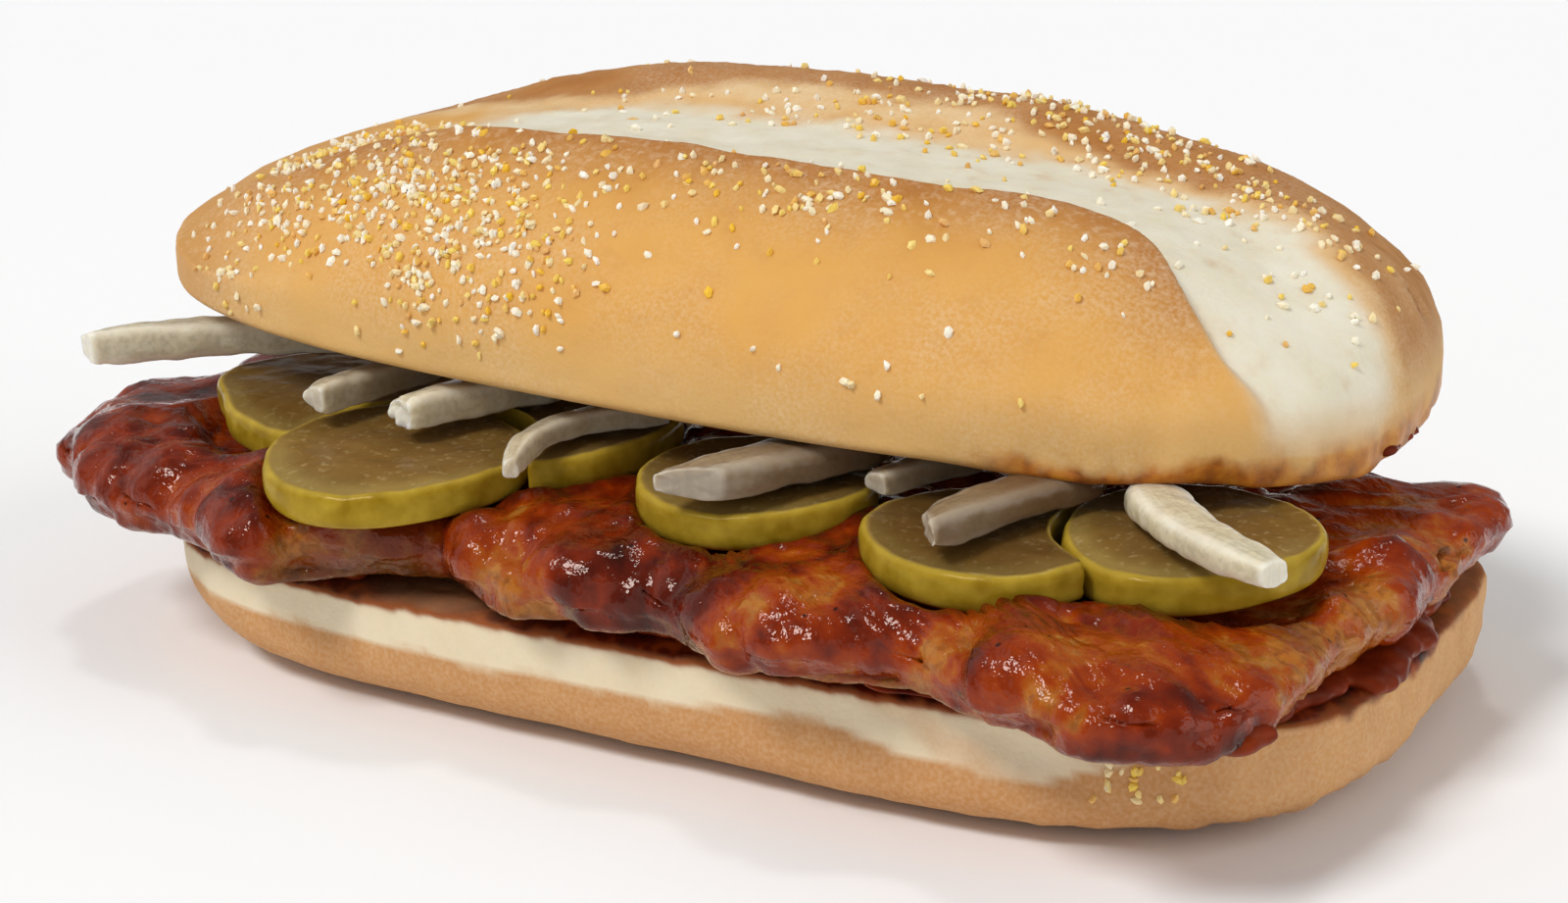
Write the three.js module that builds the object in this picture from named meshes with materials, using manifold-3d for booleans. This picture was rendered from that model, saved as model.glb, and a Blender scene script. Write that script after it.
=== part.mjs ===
// A rib sandwich: a long scored roll cut in two, with a sauced rib patty,
// pickle slices and onion strips between the halves.
//
// Frame, in millimetres: the origin is the middle of the flat underside of the
// heel, +X runs along the roll, -Y is the side where the filling shows, +Z is up.
//
// Every piece is a box grid drawn onto a rounded form, so that all of them are
// closed solids with even facets.

import * as THREE from 'three';
import { mergeVertices } from 'three/addons/utils/BufferGeometryUtils.js';
import Module from 'manifold-3d';

const wasm = await Module();
wasm.setup();

// ---------- driving dimensions ----------

const GAP = 0.35; // air kept between pieces that lie on each other
const MAP_STEP = 1; // grid on which pieces are lowered onto each other

const HEEL = {
  halfLength: 69,
  halfWidth: 38.3,
  planPower: 4,
  topPower: 7,
  bottomPower: 5,
  rim: 10.5, // height of the widest line above the underside
  above: 3.2, // from the widest line to the cut face
  below: 10.5,
  flat: 1.04, // how far the underside is cut flat, as a share of below
};

const LEFT_UNDERCUT = 4; // the heel's left end slopes in towards its underside
const FRONT_BULGE = 2; // its front swells near the right end
const CUT_WAVE = 0.15; // how far the knife's cut is from flat

const PATTY = {
  halfLength: 75.5,
  halfWidth: 31.5,
  planPower: 6,
  rightPower: 10, // its right end is squarer than its left
  topPower: 2.4,
  bottomPower: 8,
  rim: 4.5,
  above: 5.3,
  below: 4.5,
  centre: [-4.3, -9.9],
  yaw: -5.2, // degrees, its right end lies nearer the front
  rise: 0.013, // slope of its upper side, higher towards the left end
};

// Bulges of the patty's front flank: place along the patty, size and reach.
const FRONT_LOBES = [
  [-54, 2.6, 8],
  [-33, 6.4, 9],
  [-14, -4.2, 7],
  [-2, 1.6, 6],
  [13, -2.2, 6],
  [27, 1.4, 7],
  [42, -1.8, 6],
  [64, 4, 10],
];
const RIB_SPACING = 30; // the pressed ribs that run across the patty
const RIB_HEIGHT = 0.45;
const LUMP_HEIGHT = 0.25; // finer lumps between the ribs
const CLUMP_HEIGHT = 0.8; // clumps of meat about 9 mm across, along its edge
const UNDERSIDE_RELIEF = 0.3; // share of the relief that the underside has
const BACK_WAVE = 1.2; // how far its hidden back edge weaves in and out
const PATTY_LEFT_TIP = 3; // how far the middle of its left end is drawn out
const PATTY_RIGHT_CUT = 2.5; // how far its right end stops short
const PATTY_LEFT_LIFT = 1; // its left end, clear of the heel, rises a little
const PATTY_TIP_LIFT = 1;
const PATTY_TIP = 6; // how far the back right corner is drawn out

const CROWN = {
  halfLength: 73.5,
  halfWidth: 38,
  planPower: 2.8,
  topPower: 2.4,
  bottomPower: 8,
  rim: 4,
  above: 20.2,
  below: 4,
  centre: [-7.9, 9.5],
  roll: 1.5, // degrees about X, lower at the front
  pitch: 2.4, // about Y, lower at the right
};
const CREST_OFFSET = 19.5; // from the crown's middle line to each crest
const CREST_HEIGHT = 1.5;
const CREST_REACH = 8;
const SCORE_DEPTH = 2.5;
const SCORE_FRONT = -19.5; // where the score opens, measured from the middle line
const SCORE_BACK = 0.5; // where its floor starts to rise to the back crest
const SCORE_LIP = 4; // width of the step down at the front
const SCORE_RAMP = 14; // width of the rise at the back
const SCORE_SWING = [4.8, 16]; // how far both swing forwards at the right end
const LEFT_FALL = 3.6; // how far the crown's left end lies lower than a plain loaf
const RIGHT_DROOP = 1.6; // the edge of its right end hangs over the patty
const SHOULDER_CUT = 9; // how far the crown's four upper corners fall away
const RIGHT_END_CUT = 2.5; // the right end is blunter than the left
const BACK_DROOP = 5; // its unsupported back hangs lower than its front edge
const SAG_DEPTH = 4.5; // the soft crown sinks onto the filling behind its edge

const GRIT_COUNT = 112;
const GRIT_LARGEST = 0.8; // radius
const GRIT_SMALLEST = 0.55;
const GRIT_FORM = [1.15, 0.9, 0.85];
const GRIT_SEED = 7;
const GRIT_SINK = 0.25; // share of the radius that is pressed into the crust

const PICKLE_THICKNESS = 3;
const PICKLE_UNEVEN = 0.03; // how far a slice is from round
const PICKLE_RIM = 0.035; // how far its rim swells between the cut faces
// Each slice: middle, radius, stretch along X, slopes along X and Y, how far its
// front edge hangs down over the flank of the patty, and the number of the
// slice that it lies against.
const PICKLES = [
  { at: [-50, -18], radius: 13.5, stretch: 1.04, tilt: [-0.01, 0.02], droop: 1.4, besides: 2 },
  { at: [-20, -18], radius: 13, stretch: 1.05, tilt: [-0.02, 0.02], droop: 0.6, besides: 2 },
  { at: [-30, -31.5], radius: 13, stretch: 1.06, tilt: [-0.02, 0.04], droop: 0.8 },
  { at: [8, -24], radius: 11, stretch: 1.1, tilt: [-0.02, 0.02], droop: 0.7 },
  { at: [35, -27.5], radius: 11.2, stretch: 1.08, tilt: [-0.02, 0.02], droop: 0.7, besides: 5 },
  { at: [51.5, -20.5], radius: 11.5, stretch: 1.04, tilt: [0, 0.04], droop: 0.7 },
];

const ONION_EDGE_POWER = 5; // how square a strip's section is
const ONION_END_TAPER = 0.18; // how much smaller it is at its ends
// Each strip: three points along it (x, y, height), its width and thickness.
const ONIONS = [
  { path: [[-77, -26, 0], [-66, -15, 0.6], [-50, -8, 0]], width: 5, thickness: 3.4 },
  { path: [[-41, -31, 0], [-40, -23, 0.3], [-38, -14, 0]], width: 4.6, thickness: 2.6 },
  { path: [[-30, -31, 0], [-27, -22, 0.3], [-22, -13, 0]], width: 5.4, thickness: 2.8 },
  { path: [[-12, -37, -0.8], [-18, -26, 1], [-7, -16, 0]], width: 3.4, thickness: 2.6 },
  { path: [[6, -37, 0], [12, -27, 0.3], [17, -17, 0]], width: 6.4, thickness: 3 },
  { path: [[22, -26, 0], [24, -20, 0.2], [27, -13, 0]], width: 4.4, thickness: 2.6 },
  { path: [[33, -37, 0], [36, -27, 0.3], [40, -17, 0]], width: 5, thickness: 2.6 },
  { path: [[47, -18, -0.4], [53, -28, 0.3], [63, -34, -0.6]], width: 4.8, thickness: 2.8 },
];

const FINISH = {
  heel: { color: 0xc9985c, roughness: 0.8 },
  crown: { color: 0xcb9353, roughness: 0.72 },
  patty: { color: 0x7a2411, roughness: 0.25 },
  pickle: { color: 0x7d7227, roughness: 0.3 },
  onion: { color: 0xd9d6c8, roughness: 0.3 },
};

// ---------- small helpers ----------

const superNorm = (a, b, power) =>
  Math.pow(Math.pow(Math.abs(a), power) + Math.pow(Math.abs(b), power), 1 / power);

const bump = (x, middle, reach) => Math.exp(-(((x - middle) / reach) ** 2));

function ramp(x, start, end) {
  const t = Math.min(1, Math.max(0, (x - start) / (end - start)));
  return t * t * (3 - 2 * t);
}

// A box grid whose every vertex is moved by place(u, v, w), each in -1 to 1.
function boxGrid(cells, place) {
  const box = new THREE.BoxGeometry(2, 2, 2, ...cells);
  box.deleteAttribute('normal');
  box.deleteAttribute('uv');
  const grid = mergeVertices(box);
  const position = grid.attributes.position;
  const vertex = new THREE.Vector3();
  for (let i = 0; i < position.count; i += 1) {
    vertex.fromBufferAttribute(position, i);
    position.setXYZ(i, ...place(vertex.x, vertex.y, vertex.z));
  }
  return grid;
}

// ---------- the loaf form of the heel, the patty and the crown ----------

// A point of the loaf and its unit normal.
function loafPoint(loaf, u, v, w) {
  const power = w >= 0 ? loaf.topPower : loaf.bottomPower;
  const height = w >= 0 ? loaf.above : loaf.below;
  const planPower = u > 0 && loaf.rightPower ? loaf.rightPower : loaf.planPower;
  const plan = superNorm(u, v, planPower);
  const spread = superNorm(plan, w, power);
  const across = [u / spread, v / spread, w / spread];
  const reach = Math.max(superNorm(across[0], across[1], planPower), 1e-3);
  const planPart = Math.pow(reach, power - planPower);
  const slope = (value, exponent) => Math.sign(value) * Math.pow(Math.abs(value), exponent - 1);
  const normal = new THREE.Vector3(
    (planPart * slope(across[0], planPower)) / loaf.halfLength,
    (planPart * slope(across[1], planPower)) / loaf.halfWidth,
    slope(across[2], power) / height,
  ).normalize();
  const point = new THREE.Vector3(
    loaf.halfLength * across[0],
    loaf.halfWidth * across[1],
    loaf.rim + height * across[2],
  );
  return { point, normal };
}

// Turns a solid about its own middle, then puts it over its place.
function setDown(geometry, { centre, roll = 0, pitch = 0, yaw = 0 }) {
  const degrees = THREE.MathUtils.degToRad;
  geometry.applyMatrix4(
    new THREE.Matrix4().makeRotationFromEuler(
      new THREE.Euler(degrees(roll), degrees(pitch), degrees(yaw)),
    ),
  );
  geometry.translate(centre[0], centre[1], 0);
  return geometry;
}

function makeHeel() {
  return boxGrid([20, 10, 5], (u, v, w) => {
    const { point } = loafPoint(HEEL, u, v, w);
    if (w < 0) {
      const low = ramp(HEEL.rim - point.z, 0, HEEL.rim);
      point.z = Math.max(0, HEEL.rim - (HEEL.rim - point.z) * HEEL.flat);
      point.x += LEFT_UNDERCUT * low * ramp(-point.x, 35, HEEL.halfLength);
      point.y -= FRONT_BULGE * low * bump(point.x, 38, 22) * ramp(-point.y, 10, HEEL.halfWidth);
    } else {
      point.z += CUT_WAVE * Math.sin(point.x / 9 + point.y / 14) * w;
    }
    return point.toArray();
  });
}

function frontLobes(x) {
  return FRONT_LOBES.reduce((sum, [at, size, reach]) => sum + size * bump(x, at, reach), 0);
}

const meatClump = (x, y, z) => Math.sin(x / 2.7 + z / 2) * Math.sin(y / 3.3 + x / 9 + 1);

function makePatty() {
  const patty = boxGrid([32, 12, 6], (u, v, w) => {
    const { point, normal } = loafPoint(PATTY, u, v, w);
    const front = ramp(-point.y, 0, PATTY.halfWidth);
    const back = ramp(point.y, 0, PATTY.halfWidth);
    const right = ramp(point.x, 50, PATTY.halfLength);
    const left = ramp(-point.x, 55, PATTY.halfLength);
    const rib = Math.cos((2 * Math.PI * (point.x + 3)) / RIB_SPACING);
    const edge = superNorm(point.x / PATTY.halfLength, point.y / PATTY.halfWidth, PATTY.planPower);
    const clump = CLUMP_HEIGHT * meatClump(point.x, point.y, point.z) * ramp(edge, 0.6, 0.95);
    const lump = LUMP_HEIGHT * Math.sin(point.x / 5.1 + point.y / 3.7);
    const relief = RIB_HEIGHT * rib + lump + clump;
    const share = w < 0 ? UNDERSIDE_RELIEF : 1;
    point.addScaledVector(normal, relief * share);
    point.y -= front * frontLobes(point.x);
    point.y += back * (BACK_WAVE * Math.cos(point.x / 6.3 + 1) + PATTY_TIP * right);
    point.x -= left * PATTY_LEFT_TIP * bump(point.y, -12, 14) + right * PATTY_RIGHT_CUT;
    point.z += left * PATTY_LEFT_LIFT + right * back * PATTY_TIP_LIFT;
    point.z -= w > 0 ? PATTY.rise * point.x * w : 0;
    return point.toArray();
  });
  return setDown(patty, { centre: PATTY.centre, yaw: PATTY.yaw });
}

// ---------- the crown ----------

// The score opens between two edges that swing to the front at the right end.
const scoreFront = (x) => SCORE_FRONT - SCORE_SWING[0] * ramp(x, 42, 64);
const scoreBack = (x) => SCORE_BACK - SCORE_SWING[1] * ramp(x, 46, 72);

function crownRelief(x, y) {
  const ends = Math.max(0, 1 - Math.abs(x / CROWN.halfLength) ** 4);
  const crest = CREST_HEIGHT * bump(Math.abs(y), CREST_OFFSET, CREST_REACH) * ends;
  const opened = ramp(y, scoreFront(x) - 0.5, scoreFront(x) - 0.5 + SCORE_LIP);
  const closed = 1 - ramp(y, scoreBack(x), scoreBack(x) + SCORE_RAMP);
  const along = ramp(x, -56, -22);
  return crest - SCORE_DEPTH * opened * closed * along;
}

const crownSag = (x, y) => SAG_DEPTH * (1 - ramp(Math.abs(x), 40, 66)) * bump(y, 8, 17);
const backDroop = (x, y) => BACK_DROOP * (1 - ramp(Math.abs(x), 34, 64)) * ramp(y, 12, 36);

function crownPoint(u, v, w) {
  const { point, normal } = loafPoint(CROWN, u, v, w);
  const upper = ramp(w, 0, 0.6);
  if (w >= 0) {
    point.addScaledVector(normal, crownRelief(point.x, point.y) * upper);
    const corner = ((point.x / CROWN.halfLength) * (point.y / CROWN.halfWidth)) ** 2;
    const fall = LEFT_FALL * ramp(-point.x, 22, 62);
    point.z -= (SHOULDER_CUT * corner + fall) * upper;
  } else {
    point.z -= crownSag(point.x, point.y) * ramp(-w, 0.5, 1);
  }
  const droop = RIGHT_DROOP * ramp(point.x, 60, 72) + backDroop(point.x, point.y);
  point.z -= droop * (1 - upper);
  point.x -= RIGHT_END_CUT * ramp(point.x, 40, CROWN.halfLength);
  return point;
}

// A repeatable draw between 0 and 1.
function makeDraw(seed) {
  let state = seed;
  return () => {
    state = (state * 1664525 + 1013904223) % 4294967296;
    return state / 4294967296;
  };
}

// How thickly grits lie at a place: u runs along the crown, and climb goes from
// the widest line of the front (0) over its edge (1) and the middle (2) to the back.
function gritDensity(u, climb) {
  const left = ramp(u, -1.05, -0.75) * (1 - ramp(u, -0.25, 0.1)) * ramp(climb, 0.3, 0.7);
  const onLobe = left * (1 - ramp(climb, 1.4, 1.6));
  const onCrest = 0.3 * ramp(climb, 0.9, 1.2) * (1 - ramp(climb, 1.45, 1.55)) * (1 - ramp(u, 0.5, 0.9));
  const onBack = 0.22 * bump(climb, 2.5, 0.2) * ramp(u, -0.8, -0.3);
  const onScore = 0.05 * bump(climb, 1.9, 0.3) * ramp(u, 0, 0.4);
  return onLobe + onCrest + onBack + onScore + 0.03;
}

function gritPlaces(count) {
  const draw = makeDraw(GRIT_SEED);
  const places = [];
  while (places.length < count) {
    const u = draw() * 1.8 - 0.95;
    const climb = 0.25 + draw() * 2.5;
    if (draw() < gritDensity(u, climb)) {
      places.push({ u, v: Math.max(-1, climb - 2), w: Math.min(1, climb), turn: draw() * 6 });
    }
  }
  return places;
}

function toManifold(geometry) {
  const bare = geometry.index ? geometry : mergeVertices(geometry);
  return new wasm.Manifold(
    new wasm.Mesh({
      numProp: 3,
      vertProperties: new Float32Array(bare.attributes.position.array),
      triVerts: new Uint32Array(bare.index.array),
    }),
  );
}

function fromManifold(solid) {
  const mesh = solid.getMesh();
  const geometry = new THREE.BufferGeometry();
  geometry.setAttribute('position', new THREE.BufferAttribute(mesh.vertProperties, 3));
  geometry.setIndex(new THREE.BufferAttribute(mesh.triVerts, 1));
  return geometry;
}

function makeGrit({ u, v, w, turn }, radius) {
  const grit = new THREE.IcosahedronGeometry(radius, 0);
  grit.deleteAttribute('normal');
  grit.deleteAttribute('uv');
  const merged = mergeVertices(grit);
  merged.scale(...GRIT_FORM);
  merged.applyMatrix4(new THREE.Matrix4().makeRotationFromEuler(new THREE.Euler(turn, turn * 2, turn)));
  const seat = crownPoint(u, v, w);
  const { normal } = loafPoint(CROWN, u, v, w);
  seat.addScaledVector(normal, -GRIT_SINK * radius);
  return merged.translate(seat.x, seat.y, seat.z);
}

function makeCrown() {
  let crown = toManifold(boxGrid([24, 16, 7], (u, v, w) => crownPoint(u, v, w).toArray()));
  gritPlaces(GRIT_COUNT).forEach((place, i) => {
    const radius = THREE.MathUtils.lerp(GRIT_LARGEST, GRIT_SMALLEST, i / GRIT_COUNT);
    crown = crown.add(toManifold(makeGrit(place, radius)));
  });
  return setDown(fromManifold(crown), CROWN);
}

// ---------- pickles and onions ----------

// How far a slice may reach in a direction before it meets the one beside it.
function roomBeside({ at, besides }, cos, sin) {
  if (besides === undefined) return Infinity;
  const other = PICKLES[besides];
  const [dx, dy] = [other.at[0] - at[0], other.at[1] - at[1]];
  const along = dx * cos + dy * sin;
  const radius = other.radius * other.stretch + 2 * GAP;
  const inside = radius ** 2 - (dx ** 2 + dy ** 2 - along ** 2);
  return along > 0 && inside > 0 ? along - Math.sqrt(inside) : Infinity;
}

function makePickle(slice) {
  const { at, radius, stretch, tilt, droop } = slice;
  return boxGrid([6, 6, 2], (u, v, w) => {
    const ring = Math.max(Math.abs(u), Math.abs(v));
    const length = Math.hypot(u, v) || 1;
    const [cos, sin] = [u / length, v / length];
    const uneven = 1 + PICKLE_UNEVEN * Math.sin(3 * Math.atan2(sin, cos) + at[0]);
    const oval = radius * uneven * Math.hypot(stretch * cos, sin);
    const rim = ring === 1 ? 1 - PICKLE_RIM * Math.abs(w) : ring;
    const reach = Math.min(oval, roomBeside(slice, cos, sin)) * rim;
    const [x, y] = [reach * cos, reach * sin];
    const hang = droop * (1 - Math.cos(Math.PI * ramp(-y, 0, 1.6 * radius)));
    const z = tilt[0] * x + tilt[1] * y - hang + (w * PICKLE_THICKNESS) / 2;
    return [at[0] + x, at[1] + y, z];
  });
}

function makeOnion({ path, width, thickness }) {
  const spine = new THREE.QuadraticBezierCurve3(
    new THREE.Vector3(...path[0]),
    new THREE.Vector3(...path[1]),
    new THREE.Vector3(...path[2]),
  );
  return boxGrid([8, 2, 2], (u, v, w) => {
    const t = (u + 1) / 2;
    const middle = spine.getPoint(t);
    const along = spine.getTangent(t);
    const side = new THREE.Vector3(-along.y, along.x, 0).normalize();
    const ring = Math.max(Math.abs(v), Math.abs(w));
    const round = ring > 0 ? ring / superNorm(v, w, ONION_EDGE_POWER) : 0;
    const scale = (round * (1 - ONION_END_TAPER * Math.abs(u) ** 6)) / 2;
    middle.addScaledVector(side, v * width * scale);
    middle.z += w * thickness * scale;
    return middle.toArray();
  });
}

// ---------- lowering pieces onto each other ----------

// The heights of a solid's upper or lower side over a square grid.
function heightMap(geometry, upper, into = new Map()) {
  const position = geometry.attributes.position;
  const index = geometry.index.array;
  const corner = [new THREE.Vector3(), new THREE.Vector3(), new THREE.Vector3()];
  for (let i = 0; i < index.length; i += 3) {
    corner.forEach((point, k) => point.fromBufferAttribute(position, index[i + k]));
    coverTriangle(corner, (key, z) => {
      const old = into.get(key);
      const better = old === undefined || (upper ? z > old : z < old);
      if (better) into.set(key, z);
    });
  }
  return into;
}

function coverTriangle([a, b, c], record) {
  const area = (b.x - a.x) * (c.y - a.y) - (c.x - a.x) * (b.y - a.y);
  if (Math.abs(area) < 1e-9) return;
  const first = (values) => Math.ceil(Math.min(...values) / MAP_STEP);
  const last = (values) => Math.floor(Math.max(...values) / MAP_STEP);
  const xs = [a.x, b.x, c.x];
  const ys = [a.y, b.y, c.y];
  for (let i = first(xs); i <= last(xs); i += 1) {
    for (let j = first(ys); j <= last(ys); j += 1) {
      const [x, y] = [i * MAP_STEP, j * MAP_STEP];
      const onB = ((x - a.x) * (c.y - a.y) - (c.x - a.x) * (y - a.y)) / area;
      const onC = ((b.x - a.x) * (y - a.y) - (x - a.x) * (b.y - a.y)) / area;
      if (onB >= 0 && onC >= 0 && onB + onC <= 1) {
        record(`${i},${j}`, a.z + onB * (b.z - a.z) + onC * (c.z - a.z));
      }
    }
  }
}

// Moves a solid up or down until it lies on what is below with a small gap.
function layOn(geometry, below) {
  let lift = -Infinity;
  heightMap(geometry, false).forEach((z, key) => {
    if (below.has(key)) lift = Math.max(lift, below.get(key) - z);
  });
  geometry.translate(0, 0, lift + GAP);
  heightMap(geometry, true, below);
  return geometry;
}

// ---------- the sandwich ----------

const group = new THREE.Group();
const pile = new Map(); // the upper side of everything laid so far

function addPiece(name, geometry, finish) {
  geometry.computeVertexNormals();
  const material = new THREE.MeshStandardMaterial({ ...finish, metalness: 0 });
  const mesh = new THREE.Mesh(geometry, material);
  mesh.name = name;
  group.add(mesh);
}

const heel = makeHeel();
heightMap(heel, true, pile);
addPiece('heel', heel, FINISH.heel);
addPiece('patty', layOn(makePatty(), pile), FINISH.patty);
PICKLES.forEach((slice, i) => {
  addPiece(`pickle_${i + 1}`, layOn(makePickle(slice), pile), FINISH.pickle);
});
ONIONS.forEach((strip, i) => {
  addPiece(`onion_${i + 1}`, layOn(makeOnion(strip), pile), FINISH.onion);
});
addPiece('crown', layOn(makeCrown(), pile), FINISH.crown);

export default group;
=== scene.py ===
# %% [markdown]
# # A rib sandwich
#
# The real sandwich is a long soft roll with one score along its top, cut in two.
# Between the halves lie a pressed rib patty under thick sauce, six pickle slices
# and eight strips of onion. Coarse cornmeal grits were baked onto the crust.
#
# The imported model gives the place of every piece. Each piece is then drawn again
# here, over the same form, with the relief and the finish of the real food.

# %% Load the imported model
import math

import bmesh
import bpy
import numpy as np
from mathutils import Matrix, Vector, noise


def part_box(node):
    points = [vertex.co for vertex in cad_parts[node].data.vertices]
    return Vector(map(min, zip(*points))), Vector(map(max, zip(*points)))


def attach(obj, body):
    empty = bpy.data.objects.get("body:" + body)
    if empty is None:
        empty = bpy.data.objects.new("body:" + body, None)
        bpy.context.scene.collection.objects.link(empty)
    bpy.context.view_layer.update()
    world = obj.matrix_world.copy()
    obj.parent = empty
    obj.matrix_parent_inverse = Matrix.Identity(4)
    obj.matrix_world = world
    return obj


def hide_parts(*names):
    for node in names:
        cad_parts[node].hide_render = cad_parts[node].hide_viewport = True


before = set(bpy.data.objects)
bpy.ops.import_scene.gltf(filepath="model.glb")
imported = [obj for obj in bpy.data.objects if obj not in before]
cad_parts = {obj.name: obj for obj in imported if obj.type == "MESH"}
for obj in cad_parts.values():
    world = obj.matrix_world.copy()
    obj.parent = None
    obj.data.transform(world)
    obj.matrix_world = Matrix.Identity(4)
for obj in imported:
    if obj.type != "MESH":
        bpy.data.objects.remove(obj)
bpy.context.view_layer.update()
print("nodes:", ", ".join(sorted(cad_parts)))

# %% [markdown]
# ## Camera
#
# A photograph is matched from the camera outwards, so the camera comes first. It
# stands low, to the right of the front, and is tipped about one degree. A lens
# of 62 mm on a 36 mm wide picture gives the mild perspective of a product shot.

# %% Camera
MM = 0.001
CAMERA_PLACE = (0.13559, -0.24059, 0.10376)  # in metres
CAMERA_AIM = (29.89, 16.505, -1.216)  # azimuth, elevation and roll in degrees


def aimed(azimuth, elevation, roll=0):
    """A turn that looks at the sandwich from an azimuth and an elevation."""
    return (
        Matrix.Rotation(math.radians(azimuth), 4, "Z")
        @ Matrix.Rotation(math.radians(90 - elevation), 4, "X")
        @ Matrix.Rotation(math.radians(roll), 4, "Z")
    )


def put(name, data):
    """Puts a mesh, a lamp or a camera into the scene."""
    thing = bpy.data.objects.new(name, data)
    bpy.context.collection.objects.link(thing)
    return thing


lens = bpy.data.cameras.new("camera")
lens.lens, lens.sensor_width, lens.clip_start = 62.01, 36, 0.01
camera = put("camera", lens)
camera.matrix_world = Matrix.Translation(CAMERA_PLACE) @ aimed(*CAMERA_AIM)
bpy.context.scene.camera = camera
print("camera at", [round(value, 3) for value in camera.matrix_world.translation])

# %% [markdown]
# ## Tools for soft forms
#
# Dough, meat and slices have no straight edges. They could be sculpted by hand,
# but a script needs a way that it can repeat. So every piece starts as a cube
# that is cut into small cells, and each vertex, which knows its place u, v, w
# between -1 and 1, is moved onto a rounded form. Noise along the surface then
# gives the relief. All lengths are in millimetres until a mesh is written.

# %% Small curves
def ramp(x, start, end):
    """Rises smoothly from 0 at start to 1 at end."""
    t = np.clip((x - start) / (end - start), 0, 1)
    return t * t * (3 - 2 * t)


def bump(x, middle, reach):
    """A soft hill of height 1 about a middle."""
    return np.exp(-(((x - middle) / reach) ** 2))


def power_norm(a, b, power):
    """The length of a and b, measured rounder or squarer by the power."""
    return (np.abs(a) ** power + np.abs(b) ** power) ** (1 / power)


def spots(points, places):
    """Soft round spots: each place gives x, y, z, reach and strength."""
    total = np.zeros(len(points))
    for *place, reach, strength in places:
        total += strength * np.exp(-((points - place) ** 2).sum(1) / reach**2)
    return total


def lumps(points, size, octaves=1, seed=0):
    """Noise from about -1 to 1 whose lumps are size millimetres across."""
    shift = Vector((7.3 * seed, 3.1 * seed, 5.7 * seed))
    return np.array([noise.fractal(Vector(p) / size + shift, 1, 2, octaves) for p in points])


def knobs(points, size, seed=0):
    """Round knobs size millimetres apart, from 0 between them to 1 on top."""
    shift = Vector((7.3 * seed, 3.1 * seed, 5.7 * seed))
    nearest = np.array([noise.voronoi(Vector(p) / size + shift)[0][0] for p in points])
    return np.sqrt(np.clip(1 - (nearest / 0.85) ** 2, 0, 1))


# %% Meshes from a cut cube
def cut_cube(cells):
    """A cube from -1 to 1, cut into cells along X, Y and Z."""
    mesh = bmesh.new()
    bmesh.ops.create_cube(mesh, size=2)
    for axis, count in enumerate(cells):
        along = [e for e in mesh.edges if abs(e.verts[0].co[axis] - e.verts[1].co[axis]) > 1e-4]
        bmesh.ops.subdivide_edges(mesh, edges=along, cuts=count - 1, use_grid_fill=True)
    return mesh


def places(mesh):
    """Where the vertices are."""
    return np.array([vertex.co[:] for vertex in mesh.verts])


def move_to(mesh, points):
    for vertex, point in zip(mesh.verts, points * MM):
        vertex.co = point


def outward(mesh):
    """The direction straight out of the skin at each vertex."""
    mesh.normal_update()
    return np.array([vertex.normal[:] for vertex in mesh.verts])


def raise_skin(mesh, points, height):
    """Moves the skin outwards by a height for each vertex."""
    move_to(mesh, points)
    raised = points + outward(mesh) * height[:, None]
    move_to(mesh, raised)
    return raised


# %% Making a piece out of a mesh
def mesh_data(name, mesh):
    """Hands a bmesh over as mesh data."""
    data = bpy.data.meshes.new(name)
    mesh.to_mesh(data)
    mesh.free()
    return data


def piece(name, mesh, material, slot, replaced=(), flat=False, **fields):
    """Turns a bmesh into a piece that rides with the sandwich."""
    data = mesh_data(name, mesh)
    if flat:
        data.shade_flat()
    else:
        data.shade_smooth()
    for field, values in fields.items():
        data.attributes.new(field, "FLOAT", "POINT").data.foreach_set("value", values)
    data.materials.append(material)
    thing = put(name, data)
    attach(thing, "root")
    if replaced:
        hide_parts(*replaced)
    triangles = sum(len(face.vertices) - 2 for face in data.polygons)
    print(f"{name}: {triangles} triangles, {[round(side / MM, 1) for side in thing.dimensions]} mm")
    return thing


# %% [markdown]
# ## Tools for finishes
#
# Colours are written as a painter picks them, in sRGB hex, and turned to the
# linear values that a renderer works with. One function adds any shader node
# with its settings and links. Another lays coats of colour over a base, as
# browning and sauce lie over dough. A coat lists its masks, which are patterns
# or fields painted on the vertices, then how much it covers, then its colour.

# %% Colours and nodes
def linear(shade):
    """The linear colour of an sRGB hex value."""
    parts = [int(shade[i : i + 2], 16) / 255 for i in (1, 3, 5)]
    return (*[p / 12.92 if p <= 0.04045 else ((p + 0.055) / 1.055) ** 2.4 for p in parts], 1)


def add(tree, kind, feeds=None, stops=(), **settings):
    """Adds a node. A feed is a value, a hex colour, a painted field's name, a socket or a node."""
    node = tree.nodes.new("ShaderNode" + kind)
    for name, value in settings.items():
        setattr(node, name, value)
    for i, (place, shade) in enumerate(stops):
        bands = node.color_ramp.elements
        band = bands[i] if i < 2 else bands.new(place)
        band.position, band.color = place, linear(shade)
    for socket, value in (feeds or {}).items():
        if isinstance(value, str) and value.startswith("#"):
            value = linear(value)
        elif isinstance(value, str):
            value = add(tree, "Attribute", attribute_name=value).outputs["Fac"]
        elif isinstance(value, bpy.types.Node):
            value = next(out for out in value.outputs if out.enabled)
        if isinstance(value, bpy.types.NodeSocket):
            tree.links.new(value, node.inputs[socket])
        else:
            node.inputs[socket].default_value = value
    return node


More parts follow.
